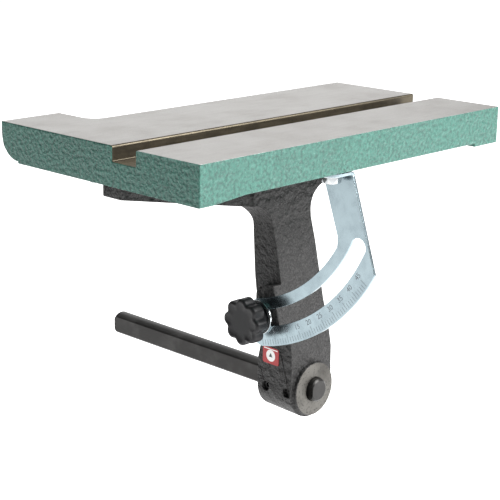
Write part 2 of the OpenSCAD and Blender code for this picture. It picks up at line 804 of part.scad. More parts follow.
table_top();
support_arm();
support_shaft();
shaft_set_screws();
quadrant_plate();
quadrant_bolt();
quadrant_flat_washer();
left_pivot_bolt();
left_pivot_spring_washer();
left_pivot_washer();
right_pivot_bolt();
right_pivot_spring_washer();
right_pivot_washer();
clamp_stud();
clamp_knob();
knob_insert();
clamp_washer();
index_label();
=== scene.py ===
"""Looks of a tilting work table for a disc and belt sander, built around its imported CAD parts.

Each sub-assembly is a class that builds its meshes and dresses them. Each finish is a small class
that makes one procedural material. Everything is in metres, in the frame of the CAD parts.
"""

import json
import logging
import math
from dataclasses import dataclass, field
from enum import Enum
from typing import Iterator, Sequence

import bmesh
import bpy
from mathutils import Matrix, Vector
from mathutils.bvhtree import BVHTree

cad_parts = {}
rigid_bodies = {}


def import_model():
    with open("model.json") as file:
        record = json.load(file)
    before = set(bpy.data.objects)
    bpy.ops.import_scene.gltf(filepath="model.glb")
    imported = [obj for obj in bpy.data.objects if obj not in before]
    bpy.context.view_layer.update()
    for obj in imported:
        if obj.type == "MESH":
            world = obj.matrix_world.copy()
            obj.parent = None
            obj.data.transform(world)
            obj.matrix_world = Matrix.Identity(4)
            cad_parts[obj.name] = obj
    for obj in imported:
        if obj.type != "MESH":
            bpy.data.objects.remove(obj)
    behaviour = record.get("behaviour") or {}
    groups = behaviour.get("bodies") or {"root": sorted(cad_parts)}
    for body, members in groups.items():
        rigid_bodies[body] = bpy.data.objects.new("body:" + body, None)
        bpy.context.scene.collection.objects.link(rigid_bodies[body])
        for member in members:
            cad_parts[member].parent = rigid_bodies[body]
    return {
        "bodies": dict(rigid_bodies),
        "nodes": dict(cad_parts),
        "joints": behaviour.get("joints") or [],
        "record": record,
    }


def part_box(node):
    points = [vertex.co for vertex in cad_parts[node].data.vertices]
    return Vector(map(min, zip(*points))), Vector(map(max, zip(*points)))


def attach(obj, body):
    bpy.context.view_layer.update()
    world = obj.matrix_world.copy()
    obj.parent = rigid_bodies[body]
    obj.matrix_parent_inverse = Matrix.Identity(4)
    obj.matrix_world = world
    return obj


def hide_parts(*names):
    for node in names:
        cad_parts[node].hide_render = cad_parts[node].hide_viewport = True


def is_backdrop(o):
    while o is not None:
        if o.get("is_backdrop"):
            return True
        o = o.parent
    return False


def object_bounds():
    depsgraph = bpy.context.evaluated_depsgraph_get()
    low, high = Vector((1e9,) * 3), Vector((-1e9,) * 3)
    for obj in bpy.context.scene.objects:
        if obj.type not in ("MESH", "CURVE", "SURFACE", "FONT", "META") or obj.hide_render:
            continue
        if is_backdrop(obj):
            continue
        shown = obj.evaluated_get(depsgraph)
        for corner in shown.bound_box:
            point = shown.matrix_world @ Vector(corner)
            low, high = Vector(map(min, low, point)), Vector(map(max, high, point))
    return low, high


log = logging.getLogger("work_table")

MM = 0.001

Number = int | float
Colour = tuple[float, float, float]


# ---- Shader maths ------------------------------------------------------------------------------


class Value:
    """A number that varies over a surface: it wraps a node socket and adds Math nodes."""

    def __init__(self, graph: "Graph", socket: bpy.types.NodeSocket) -> None:
        """Keeps the graph and the socket that gives the number."""
        self.graph = graph
        self.socket = socket

    def _math(self, operation: str, *operands: "Value | Number") -> "Value":
        """Adds one Math node.

        Args:
            operation: The node's operation.
            operands: Its inputs, in order.

        Returns:
            The value that comes out of it.
        """
        made = self.graph.node("ShaderNodeMath", {"operation": operation}, dict(enumerate(operands)))
        return Value(self.graph, made.outputs[0])

    def __add__(self, other: "Value | Number") -> "Value":
        """self + other."""
        return self._math("ADD", self, other)

    def __radd__(self, other: Number) -> "Value":
        """other + self."""
        return self._math("ADD", other, self)

    def __sub__(self, other: "Value | Number") -> "Value":
        """self - other."""
        return self._math("SUBTRACT", self, other)

    def __rsub__(self, other: Number) -> "Value":
        """other - self."""
        return self._math("SUBTRACT", other, self)

    def __mul__(self, other: "Value | Number") -> "Value":
        """self * other."""
        return self._math("MULTIPLY", self, other)

    def __rmul__(self, other: Number) -> "Value":
        """other * self."""
        return self._math("MULTIPLY", other, self)

    def ramp(self, low: float, high: float) -> "Value":
        """Runs smoothly from 0 at low to 1 at high.

        Args:
            low: Where the result is 0.
            high: Where the result is 1; it may be the smaller of the two.

        Returns:
            The share, from 0 to 1.
        """
        if low > high:
            return 1 - self.ramp(high, low)
        settings = {"interpolation_type": "SMOOTHSTEP"}
        inputs = {"Value": self, "From Min": low, "From Max": high}
        return Value(self.graph, self.graph.node("ShaderNodeMapRange", settings, inputs).outputs["Result"])


class Tint:
    """A colour that varies over a surface."""

    def __init__(self, graph: "Graph", socket: bpy.types.NodeSocket) -> None:
        """Keeps the graph and the socket that gives the colour."""
        self.graph = graph
        self.socket = socket


class Graph:
    """The nodes of one material, made one by one by node()."""

    def __init__(self, name: str) -> None:
        """Starts an empty material.

        Args:
            name: The material's name.
        """
        self.material = bpy.data.materials.new(name)
        self.material.use_nodes = True
        self.tree = self.material.node_tree
        self.tree.nodes.clear()
        self._object_space: bpy.types.NodeSocket | None = None

    def node(
        self,
        kind: str,
        settings: dict[str, object] | None = None,
        inputs: dict[str | int, object] | None = None,
    ) -> bpy.types.ShaderNode:
        """Makes a node, sets it up, and gives its sockets their values or links.

        Args:
            kind: The node's type.
            settings: Its properties, set before its sockets.
            inputs: A value, a Value, a Tint or a socket for each input that isn't left alone.

        Returns:
            The new node.
        """
        made = self.tree.nodes.new(kind)
        for key, setting in (settings or {}).items():
            setattr(made, key, setting)
        for key, given in (inputs or {}).items():
            target = made.inputs[key]
            if isinstance(given, (Value, Tint)):
                given = given.socket
            if isinstance(given, bpy.types.NodeSocket):
                self.tree.links.new(given, target)
            elif isinstance(given, tuple) and len(given) == 3 and len(target.default_value) == 4:
                target.default_value = (*given, 1.0)
            else:
                target.default_value = given
        return made

    @property
    def place(self) -> bpy.types.NodeSocket:
        """The point in the object's own space, in metres, so that a pattern stays on its piece."""
        if self._object_space is None:
            self._object_space = self.node("ShaderNodeTexCoord").outputs["Object"]
        return self._object_space

    def stretched(self, scale: tuple[float, float, float]) -> bpy.types.NodeSocket:
        """The point with each axis scaled, for grain that runs one way."""
        inputs = {0: self.place, 1: scale}
        return self.node("ShaderNodeVectorMath", {"operation": "MULTIPLY"}, inputs).outputs[0]

    def noise(
        self, size: float, detail: float = 3.0, rough: float = 0.55, at: bpy.types.NodeSocket | None = None
    ) -> Value:
        """Smooth noise, mostly between 0.3 and 0.7.

        Args:
            size: The width of its features, in metres.
            detail: How many finer layers it has.
            rough: The strength of each finer layer.
            at: The point to take it at; the object's own space if left out.

        Returns:
            The noise.
        """
        inputs = {"Vector": at or self.place, "Scale": 1 / size, "Detail": detail, "Roughness": rough}
        return Value(self, self.node("ShaderNodeTexNoise", None, inputs).outputs["Fac"])

    def cells(self, size: float, smooth: float = 0.4, at: bpy.types.NodeSocket | None = None) -> Value:
        """Distance to the nearest of many scattered points, for pebbled and hammered surfaces.

        Args:
            size: The distance between points, in metres.
            smooth: How much neighbouring cells blend.
            at: The point to take it at; the object's own space if left out.

        Returns:
            The distance, in units of size.
        """
        settings = {"feature": "SMOOTH_F1"}
        inputs = {"Vector": at or self.place, "Scale": 1 / size, "Smoothness": smooth}
        return Value(self, self.node("ShaderNodeTexVoronoi", settings, inputs).outputs["Distance"])

    def blend(self, share: Value, first: Colour | Tint, second: Colour | Tint) -> Tint:
        """Mixes two colours.

        Args:
            share: 0 gives the first colour and 1 the second.
            first: A colour.
            second: A colour.

        Returns:
            The mixed colour.
        """
        inputs = {0: share, 6: first, 7: second}
        return Tint(self, self.node("ShaderNodeMix", {"data_type": "RGBA"}, inputs).outputs[2])

    def scale_tint(self, tint: Tint, by: Value) -> Tint:
        """Darkens or brightens a colour.

        Args:
            tint: The colour.
            by: The number that it is multiplied by.

        Returns:
            The scaled colour.
        """
        settings = {"operation": "SCALE"}
        return Tint(self, self.node("ShaderNodeVectorMath", settings, {0: tint, "Scale": by}).outputs[0])

    def bump(self, height: Value, depth: float) -> bpy.types.NodeSocket:
        """Turns a height into a bumpy normal.

        Args:
            height: The height, where 1 stands for depth.
            depth: The real depth of the relief, in metres.

        Returns:
            The normal.
        """
        inputs = {"Height": height, "Distance": depth, "Strength": 1.0}
        return self.node("ShaderNodeBump", None, inputs).outputs["Normal"]

    def worn_edges(self, radius: float) -> Value:
        """1 on sharp outer edges and 0 on flats, from how a rounded normal leaves the plain one."""
        rounded = self.node("ShaderNodeBevel", {"samples": 6}, {"Radius": radius}).outputs["Normal"]
        plain = self.node("ShaderNodeNewGeometry").outputs["Normal"]
        dot = self.node("ShaderNodeVectorMath", {"operation": "DOT_PRODUCT"}, {0: rounded, 1: plain})
        return 1 - Value(self, dot.outputs["Value"])

    def finish(
        self,
        colour: Tint | Colour,
        roughness: Value | float,
        metallic: Value | float = 0.0,
        normal: bpy.types.NodeSocket | None = None,
        coat: float = 0.0,
        coat_roughness: float = 0.1,
        specular: float = 0.5,
    ) -> bpy.types.Material:
        """Ends the material with one Principled shader.

        Args:
            colour: The base colour.
            roughness: The roughness.
            metallic: 1 for bare metal and 0 for paint or plastic.
            normal: The bumpy normal, if any.
            coat: The strength of a clear coat.
            coat_roughness: The roughness of that coat.
            specular: The strength of reflections on paint or plastic.

        Returns:
            The finished material.
        """
        inputs: dict[str | int, object] = {
            "Base Color": colour,
            "Roughness": roughness,
            "Metallic": metallic,
            "Coat Weight": coat,
            "Coat Roughness": coat_roughness,
            "Specular IOR Level": specular,
        }
        if normal is not None:
            inputs["Normal"] = normal
        shader = self.node("ShaderNodeBsdfPrincipled", None, inputs)
        self.node("ShaderNodeOutputMaterial", None, {"Surface": shader.outputs["BSDF"]})
        return self.material


# ---- Finishes ----------------------------------------------------------------------------------


@dataclass(frozen=True)
class HammeredPaint:
    """Green hammered enamel over cast iron."""

    base: Colour = (0.028, 0.132, 0.101)
    # darker green for the painted shade in the dimples
    pit: Colour = (0.011, 0.064, 0.049)
    # lighter green painted on the dimples' crests: a painted highlight
    crest: Colour = (0.085, 0.235, 0.19)
    dimple: float = 2.0 * MM
    relief: float = 1.15 * MM
    # lighter green for edges and high spots of the enamel: a painted highlight
    rubbed: Colour = (0.30, 0.50, 0.43)

    def material(self) -> bpy.types.Material:
        """Makes the enamel: dimples, pits darkened as painted shade, crests lightened as a painted
        highlight, soft clouds of darker and lighter tone, and a painted highlight on edges and high spots.
        """
        graph = Graph("hammered_green")
        dimples = graph.noise(self.dimple, detail=3, rough=0.5)
        cells = graph.cells(self.dimple * 1.4, smooth=0.6)
        clouds = graph.noise(26 * MM)
        # the pits are darkened: painted shade in the dimples of the enamel
        shaded_pits = dimples.ramp(0.56, 0.36) * 0.75 + cells.ramp(0.5, 0.9) * 0.25
        tint = graph.blend(shaded_pits, self.base, self.pit)
        tint = graph.scale_tint(tint, 0.80 + 0.4 * clouds)
        # the crests are lightened: a painted highlight on the enamel
        crest = dimples.ramp(0.56, 0.72)
        tint = graph.blend(crest * 0.45, tint, self.crest)
        # edges and high spots of the enamel are lightened: a painted highlight
        rubbed = graph.worn_edges(0.8 * MM).ramp(0.05, 0.25) * dimples.ramp(0.45, 0.6)
        tint = graph.blend(rubbed * 0.6, tint, self.rubbed)
        height = dimples + cells * 0.35
        roughness = 0.30 + 0.14 * clouds + 0.10 * shaded_pits
        normal = graph.bump(height, self.relief)
        return graph.finish(tint, roughness, normal=normal, coat=0.15, coat_roughness=0.2)


@dataclass(frozen=True)
class MachinedIron:
    """Bare cast iron with the marks of the cutter and dark specks of graphite."""

    name: str
    base: Colour = (0.40, 0.39, 0.375)
    stain: Colour = (0.365, 0.35, 0.335)
    roughness: float = 0.42
    grain: tuple[float, float, float] = (60.0, 900.0, 900.0)
    specks: float = 0.25
    speck_size: float = 0.7 * MM
    graphite: Colour = (0.045, 0.042, 0.04)
    relief: float = 0.02 * MM

    def material(self) -> bpy.types.Material:
        """Makes the iron: long cutter marks, stains and graphite specks."""
        graph = Graph(self.name)
        marks = graph.noise(1.0, detail=2, at=graph.stretched(self.grain))
        clouds = graph.noise(24 * MM, detail=5)
        graphite = graph.noise(self.speck_size, detail=3).ramp(0.54, 0.66)
        tint = graph.blend(clouds.ramp(0.42, 0.72), self.base, self.stain)
        tint = graph.blend(graphite * self.specks, tint, self.graphite)
        roughness = self.roughness + 0.22 * (marks - 0.5) + 0.15 * (clouds - 0.5)
        height = marks * 0.6 - graphite * 0.5
        return graph.finish(tint, roughness, metallic=0.85, normal=graph.bump(height, self.relief))


@dataclass(frozen=True)
class RoughCasting:
    """Black paint over a sand casting."""

    base: Colour = (0.013, 0.0125, 0.0125)
    dust: Colour = (0.050, 0.048, 0.047)
    worn: Colour = (0.26, 0.25, 0.24)
    grain: float = 1.15 * MM
    relief: float = 1.2 * MM

    def material(self) -> bpy.types.Material:
        """Makes the casting: sand grain, coarser lumps, dusty high spots and rubbed edges."""
        graph = Graph("black_casting")
        sand = graph.noise(self.grain, detail=4, rough=0.65)
        lumps = graph.noise(4.5 * MM, detail=2)
        pores = graph.cells(1.9 * MM, smooth=0.3)
        high = sand.ramp(0.45, 0.66)
        tint = graph.blend(high * 0.8, self.base, self.dust)
        tint = graph.scale_tint(tint, 0.75 + 0.5 * lumps)
        rubbed = graph.worn_edges(1.0 * MM).ramp(0.06, 0.3) * sand.ramp(0.4, 0.6)
        tint = graph.blend(rubbed * 0.3, tint, self.worn)
        height = sand * 0.6 + pores * 0.3 + lumps * 2.3
        roughness = 0.52 + 0.2 * (sand - 0.5)
        return graph.finish(tint, roughness, normal=graph.bump(height, self.relief), specular=0.35)


@dataclass(frozen=True)
class BlackenedSteel:
    """Black-oxide steel with fine grinding marks round or along it."""

    name: str = "black_oxide"
    base: Colour = (0.030, 0.029, 0.028)
    rubbed: Colour = (0.085, 0.082, 0.08)
    grain: tuple[float, float, float] = (1500.0, 90.0, 1500.0)
    relief: float = 0.008 * MM

    def material(self) -> bpy.types.Material:
        """Makes the steel: grinding lines, oily clouds and bright edges."""
        graph = Graph(self.name)
        lines = graph.noise(1.0, detail=2, at=graph.stretched(self.grain))
        clouds = graph.noise(14 * MM, detail=4)
        edges = graph.worn_edges(0.6 * MM).ramp(0.08, 0.3)
        tint = graph.blend(clouds.ramp(0.4, 0.75) * 0.4 + edges * 0.5, self.base, self.rubbed)
        roughness = 0.36 + 0.2 * (lines - 0.5) + 0.14 * (clouds - 0.5)
        return graph.finish(tint, roughness, metallic=0.75, normal=graph.bump(lines, self.relief))


@dataclass(frozen=True)
class ZincPlate:
    """Bright zinc plate, with a faint bluish bloom."""

    name: str
    base: Colour = (0.32, 0.395, 0.425)
    bloom: Colour = (0.27, 0.335, 0.365)
    roughness: float = 0.24
    grain: tuple[float, float, float] = (300.0, 300.0, 40.0)
    nick: Colour = (0.33, 0.37, 0.40)
    relief: float = 0.012 * MM

    def material(self) -> bpy.types.Material:
        """Makes the plate: rolling marks, cloudy bloom and tiny nicks."""
        graph = Graph(self.name)
        lines = graph.noise(1.0, detail=3, at=graph.stretched(self.grain))
        clouds = graph.noise(11 * MM, detail=5, rough=0.6)
        nicks = graph.noise(0.5 * MM, detail=2).ramp(0.68, 0.78)
        tint = graph.blend(clouds.ramp(0.38, 0.68), self.base, self.bloom)
        tint = graph.blend(nicks * 0.4, tint, self.nick)
        roughness = self.roughness + 0.16 * (clouds - 0.5) + 0.12 * (lines - 0.5)
        height = lines * 0.5 + clouds * 0.5 - nicks * 0.4
        return graph.finish(tint, roughness, metallic=1.0, normal=graph.bump(height, self.relief))


@dataclass(frozen=True)
class MouldedPlastic:
    """Semi-matt black plastic from a spark-eroded mould."""

    base: Colour = (0.007, 0.007, 0.008)
    # greyer tone for scuffs, also used for the painted highlight on the edges
    scuff: Colour = (0.022, 0.022, 0.023)
    relief: float = 0.025 * MM

    def material(self) -> bpy.types.Material:
        """Makes the plastic: fine grain, greyer scuffs and a painted highlight along the edges."""
        graph = Graph("black_plastic")
        grain = graph.noise(0.35 * MM, detail=2)
        clouds = graph.noise(7 * MM, detail=4)
        edges = graph.worn_edges(0.7 * MM).ramp(0.05, 0.3)
        # the clouds are greyer scuffs; the edges are lightened as a painted highlight
        tint = graph.blend(clouds.ramp(0.45, 0.7) * 0.3 + edges * 0.35, self.base, self.scuff)
        roughness = 0.42 + 0.16 * (clouds - 0.5)
        return graph.finish(tint, roughness, normal=graph.bump(grain, self.relief), specular=0.28)


@dataclass(frozen=True)
class PrintedInk:
    """Glossy printed film or flat ink in one colour."""

    name: str
    base: Colour
    gloss: float = 0.3
    relief: float = 0.01 * MM

    def material(self) -> bpy.types.Material:
        """Makes the ink: faint mottle and a slightly uneven gloss."""
        graph = Graph(self.name)
        mottle = graph.noise(0.8 * MM, detail=3)
        tint = graph.scale_tint(graph.blend(mottle, self.base, self.base), 0.88 + 0.24 * mottle)
        roughness = self.gloss + 0.15 * (mottle - 0.5)
        return graph.finish(tint, roughness, normal=graph.bump(mottle, self.relief))


# ---- Mesh work ---------------------------------------------------------------------------------


class Body(Enum):
    """The CAD bodies that pieces ride on."""

    SUPPORT = "support"
    TABLE = "table"
    WASHER = "washer"
    KNOB = "knob"


def publish(
    piece: bpy.types.Object,
    body: Body,
    replaced: Sequence[str] = (),
) -> bpy.types.Object:
    """Says what a finished piece rides on and stands for.

    Args:
        piece: The piece.
        body: The body that it moves with.
        replaced: The CAD nodes that it stands for.

    Returns:
        The piece.
    """
    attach(piece, body.value)
    if replaced:
        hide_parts(*replaced)
    log.info("%s: %d faces, on %s", piece.name, len(piece.data.polygons), body.value)
    return piece


def new_piece(
    name: str, shape: bmesh.types.BMesh, materials: Sequence[bpy.types.Material]
) -> bpy.types.Object:
    """Makes an object from a bmesh, and frees the bmesh.

    Args:
        name: The object's name.
        shape: Its mesh, in the shared frame.
        materials: Its materials, in slot order.

    Returns:
        The object, linked to the scene.
    """
    mesh = bpy.data.meshes.new(name)
    bmesh.ops.recalc_face_normals(shape, faces=shape.faces[:])
    shape.to_mesh(mesh)
    shape.free()
    for material in materials:
        mesh.materials.append(material)
    made = bpy.data.objects.new(name, mesh)
    bpy.context.scene.collection.objects.link(made)
    return made


def smooth_shading(piece: bpy.types.Object, angle: float) -> None:
    """Shades a piece smoothly across edges below an angle.

    Args:
        piece: The piece.
        angle: The angle, in degrees.
    """
    piece.data.polygons.foreach_set("use_smooth", [True] * len(piece.data.polygons))
    piece.data.set_sharp_from_angle(angle=math.radians(angle))


def apply_modifiers(piece: bpy.types.Object) -> None:
    """Bakes a piece's modifiers into its mesh."""
    graph = bpy.context.evaluated_depsgraph_get()
    mesh = bpy.data.meshes.new_from_object(piece.evaluated_get(graph))
    mesh.name = piece.name
    piece.modifiers.clear()
    piece.data = mesh


@dataclass
class EdgeBreak:
    """How the sharp edges of a CAD node's copy are rounded."""

    width: float
    segments: int = 3
    angle: float = 30.0
    merge: float = 0.02 * MM
    weld: float = 0.001 * MM
    flat_angle: float = 0.6
    smooth_angle: float = 38.0
    stray_share: float = 0.5

    def copy_of(self, node: str, name: str) -> bpy.types.Object:
        """Copies a CAD node's mesh into a new piece, welded, simplified and triangulated, ready for
        round_edges.

        Args:
            node: The CAD node.
            name: The new piece's name.

        Returns:
            The piece, still without a finish.
        """
        shape = bmesh.new()
        shape.from_mesh(bpy.data.objects[node].data)
        bmesh.ops.remove_doubles(shape, verts=shape.verts[:], dist=self.weld)
        bmesh.ops.dissolve_limit(
            shape,
            angle_limit=math.radians(self.flat_angle),
            verts=shape.verts[:],
            edges=shape.edges[:],
            delimit={"NORMAL"},
        )
        bmesh.ops.triangulate(shape, faces=shape.faces[:], quad_method="BEAUTY", ngon_method="BEAUTY")
        return new_piece(name, shape, [])

    def round_edges(self, piece: bpy.types.Object, node: str) -> None:
        """Rounds the piece's sharp edges, once its faces have their finishes.

        Args:
            piece: The piece, changed in place.
            node: The CAD node that it was copied from.
        """
        bevel = piece.modifiers.new("edge_break", "BEVEL")
        bevel.width = self.width
        bevel.segments = self.segments
        bevel.limit_method = "ANGLE"
        bevel.angle_limit = math.radians(self.angle)
        bevel.use_clamp_overlap = False
        apply_modifiers(piece)
        self._pull_in(piece, node)
        smooth_shading(piece, self.smooth_angle)
        weighted = piece.modifiers.new("even_normals", "WEIGHTED_NORMAL")
        weighted.keep_sharp = True
        apply_modifiers(piece)

    def _pull_in(self, piece: bpy.types.Object, node: str) -> None:
        """Brings back points that the rounding threw clear of the CAD node, and merges slivers.

        Args:
            piece: The piece, changed in place.
            node: The CAD node that it was copied from.
        """
        surface = bmesh.new()
        surface.from_mesh(bpy.data.objects[node].data)
        tree = BVHTree.FromBMesh(surface)
        surface.free()
        for vertex in piece.data.vertices:
            nearest, _, _, distance = tree.find_nearest(vertex.co)
            if distance > self.stray_share * self.width:
                vertex.co = nearest
        shape = bmesh.new()
        shape.from_mesh(piece.data)
        bmesh.ops.remove_doubles(shape, verts=shape.verts[:], dist=self.merge)
        bmesh.ops.dissolve_degenerate(shape, edges=shape.edges[:], dist=self.merge)
        shape.to_mesh(piece.data)
        shape.free()


def dress(piece: bpy.types.Object, materials: Sequence[bpy.types.Material]) -> None:
    """Gives a piece its materials, in slot order."""
    piece.data.materials.clear()
    for material in materials:
        piece.data.materials.append(material)


def sweep_rings(rings: Sequence[Sequence[Vector]], close_ends: bool = True) -> bmesh.types.BMesh:
    """Joins rings of points, which all have the same number of points, into one skin.

    Args:
        rings: The rings, in order.
        close_ends: Whether the first and last rings are filled.

    Returns:
        The skin.
    """
    shape = bmesh.new()
    made = [[shape.verts.new(point) for point in ring] for ring in rings]
    count = len(made[0])
    for lower, upper in zip(made, made[1:]):
        for i in range(count):
            j = (i + 1) % count
            shape.faces.new((lower[i], lower[j], upper[j], upper[i]))
    if close_ends:
        shape.faces.new(list(reversed(made[0])))
        shape.faces.new(made[-1])
    return shape


# ---- Table -------------------------------------------------------------------------------------


@dataclass
class Table:
    """The cast-iron table: green enamel outside, ground top, oiled mitre slot."""

    slot_width: float = 19.05 * MM
    slot_depth: float = 9.0 * MM
    tolerance: float = 0.05 * MM
    chamfer_reach: float = 1.0 * MM
    end_normal: float = 0.5
    edges: EdgeBreak = field(default_factory=lambda: EdgeBreak(0.7 * MM, 3, 35))

    def build(self, frame: dict) -> bpy.types.Object:
        """Builds the table's piece.

        Args:
            frame: The loaded CAD frame.

        Returns:
            The piece.
        """
        piece = self.edges.copy_of("table_top", "table_casting")
        dress(
            piece,
            [
                HammeredPaint().material(),
                MachinedIron("ground_top").material(),
                MachinedIron(
                    "oiled_slot",
                    base=(0.115, 0.098, 0.068),
                    stain=(0.05, 0.042, 0.03),
                    roughness=0.38,
                    specks=0.5,
                ).material(),
            ],
        )
        mount = next(m for m in frame["record"]["mounts"] if m["name"] == "mitre_slot")
        self._sort_faces(piece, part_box("table_top")[1].z, mount["pos_m"][1])
        self.edges.round_edges(piece, "table_top")
        return publish(piece, Body.TABLE, ["table_top"])

    def _sort_faces(self, piece: bpy.types.Object, top: float, slot_middle: float) -> None:
        """Gives the ground top and the slot their finishes.

        Args:
            piece: The table's piece.
            top: The height of the working surface.
            slot_middle: The middle of the slot, along Y.
        """
        floor = top - self.slot_depth
        reach = self.slot_width / 2 + self.chamfer_reach
        for face in piece.data.polygons:
            centre = face.center
            if centre.z > top - self.tolerance:
                face.material_index = 1
            elif (
                centre.z > floor - self.tolerance
                and abs(centre.y - slot_middle) < reach
                and abs(face.normal.x) < self.end_normal
            ):
                face.material_index = 2


# ---- Arm ---------------------------------------------------------------------------------------


@dataclass
class Arm:
    """The cast arm, with a machined face round the shaft's bore."""

    tolerance: float = 0.1 * MM
    edges: EdgeBreak = field(default_factory=lambda: EdgeBreak(0.8 * MM, 3, 38))

    def build(self) -> bpy.types.Object:
        """Builds the arm's piece."""
        piece = self.edges.copy_of("support_arm", "arm_casting")
        hub_face = MachinedIron(
            "hub_face",
            base=(0.120, 0.115, 0.105),
            stain=(0.055, 0.052, 0.047),
            grain=(400.0, 400.0, 400.0),
            roughness=0.5,
            specks=0.9,
            speck_size=1.5 * MM,
        )
        dress(piece, [RoughCasting().material(), hub_face.material()])
        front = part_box("support_arm")[0].y
        for face in piece.data.polygons:
            if face.center.y < front + self.tolerance:
                face.material_index = 1
        self.edges.round_edges(piece, "support_arm")
        return publish(piece, Body.SUPPORT, ["support_arm"])


# ---- Quadrant ----------------------------------------------------------------------------------


@dataclass
class Quadrant:
    """The sheet-steel quadrant and its scale of degrees."""

    outer_radius: float = 128.9 * MM
    zero_angle: float = 12.3
    span: int = 45
    tick_width: float = 0.28 * MM
    tick_inset: float = 1.0 * MM
    tick_lengths: tuple[float, float] = (3.4 * MM, 5.2 * MM)
    numeral_radius: float = 120.0 * MM
    numeral_height: float = 3.2 * MM
    ink_height: float = 0.02 * MM
    numeral_step: int = 5
    letter_share: float = 0.7
    sheet: float = 2.0 * MM
    edges: EdgeBreak = field(default_factory=lambda: EdgeBreak(0.22 * MM, 2, 35))

    def build(self, frame: dict) -> list[bpy.types.Object]:
        """Builds the plate and its scale.

        Args:
            frame: The loaded CAD frame.

        Returns:
            Both pieces.
        """
        plate = self.edges.copy_of("quadrant_plate", "quadrant_sheet")
        dress(plate, [ZincPlate("zinc_sheet").material()])
        self.edges.round_edges(plate, "quadrant_plate")
        publish(plate, Body.TABLE, ["quadrant_plate"])
        tilt = next(j for j in frame["joints"] if j["name"] == "table_tilt")
        outer_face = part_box("quadrant_plate")[1].x - self.sheet
        centre = Vector((outer_face, tilt["pos_m"][1], tilt["pos_m"][2]))
        ink = PrintedInk("scale_ink", (0.13, 0.15, 0.17), gloss=0.5).material()
        scale = new_piece("quadrant_scale", self._scale_mesh(centre), [ink])
        return [plate, publish(scale, Body.TABLE)]

    def _at(self, centre: Vector, radius: float, angle: float, lift: float) -> Vector:
        """A point on the scale.

        Args:
            centre: The tilt axis, in the plane of the plate's outer face.
            radius: The distance from the axis.
            angle: The angle in front of straight down, in degrees.
            lift: The distance out of the face.

        Returns:
            The point.
        """
        turn = math.radians(angle)
        return centre + Vector((-lift, -radius * math.sin(turn), -radius * math.cos(turn)))

    def _scale_mesh(self, centre: Vector) -> bmesh.types.BMesh:
        """Makes all ticks and numerals as thin raised ink.

        Args:
            centre: The tilt axis, in the plane of the plate's outer face.

        Returns:
            The mesh.
        """
        shape = bmesh.new()
        rim = self.outer_radius - self.tick_inset
        for degree in range(self.span + 1):
            length = self.tick_lengths[degree % self.numeral_step == 0]
            half = math.degrees(self.tick_width / 2 / rim)
            angle = self.zero_angle + degree
            outline = [
                (rim - length, angle - half),
                (rim, angle - half),
                (rim, angle + half),
                (rim - length, angle + half),
            ]
            lower = [shape.verts.new(self._at(centre, radius, a, 0.0)) for radius, a in outline]
            upper = [shape.verts.new(self._at(centre, radius, a, self.ink_height)) for radius, a in outline]
            shape.faces.new(upper)
            for i in range(4):
                j = (i + 1) % 4
                shape.faces.new((lower[i], lower[j], upper[j], upper[i]))
            shape.faces.new(list(reversed(lower)))
            if degree % self.numeral_step == 0:
                self._add_numeral(shape, centre, degree)
        return shape

    def _add_numeral(self, shape: bmesh.types.BMesh, centre: Vector, degree: int) -> None:
        """Adds one numeral, upright along the arc.

        Args:
            shape: The scale's mesh, added to.
            centre: The tilt axis, in the plane of the plate's outer face.
            degree: The number shown.
        """
        text = bpy.data.curves.new("numeral", "FONT")
        text.body = str(degree)
        text.size = self.numeral_height / self.letter_share
        text.align_x = "CENTER"
        text.align_y = "CENTER"
        text.extrude = self.ink_height / 2
        text.resolution_u = 3
        drawn = bpy.data.objects.new("numeral", text)
        mesh = bpy.data.meshes.new_from_object(drawn)
        angle = self.zero_angle + degree
        turn = math.radians(angle)
        # the text's X runs along the arc and its Y towards the tilt axis, and it faces out along -X
        along = Vector((0.0, -math.cos(turn), math.sin(turn)))
        inward = Vector((0.0, math.sin(turn), math.cos(turn)))
        out = Vector((-1.0, 0.0, 0.0))
        origin = self._at(centre, self.numeral_radius, angle, self.ink_height / 2)
        place = Matrix((
            (along.x, inward.x, out.x, origin.x),
            (along.y, inward.y, out.y, origin.y),
            (along.z, inward.z, out.z, origin.z),
            (0.0, 0.0, 0.0, 1.0),
        ))
        mesh.transform(place)
        shape.from_mesh(mesh)
        bpy.data.objects.remove(drawn)
        bpy.data.curves.remove(text)
        bpy.data.meshes.remove(mesh)


# ---- Hardware ----------------------------------------------------------------------------------


@dataclass
class Hardware:
    """The zinc-plated bolts and washers: each a rounded copy of its CAD node."""

    edges: EdgeBreak = field(default_factory=lambda: EdgeBreak(0.25 * MM, 2, 28))
    bodies: dict[str, Body] = field(
        default_factory=lambda: {
            "quadrant_bolt": Body.TABLE,
            "quadrant_flat_washer": Body.TABLE,
            "left_pivot_bolt": Body.SUPPORT,
            "left_pivot_spring_washer": Body.SUPPORT,
            "left_pivot_washer": Body.SUPPORT,
            "right_pivot_bolt": Body.SUPPORT,
            "right_pivot_spring_washer": Body.SUPPORT,
            "right_pivot_washer": Body.SUPPORT,
            "clamp_washer": Body.WASHER,
            "knob_insert": Body.KNOB,
            "clamp_stud": Body.KNOB,
        }
    )

    def build(self) -> list[bpy.types.Object]:
        """Builds every bolt and washer."""
        zinc = ZincPlate(
            "zinc_hardware",
            base=(0.60, 0.63, 0.64),
            bloom=(0.46, 0.48, 0.49),
            roughness=0.2,
            grain=(500.0, 500.0, 500.0),
        ).material()
        made = []
        for node, body in self.bodies.items():
            piece = self.edges.copy_of(node, f"{node}_zinc")
            dress(piece, [zinc])
            self.edges.round_edges(piece, node)
            made.append(publish(piece, body, [node]))
        return made


# ---- Shaft -------------------------------------------------------------------------------------


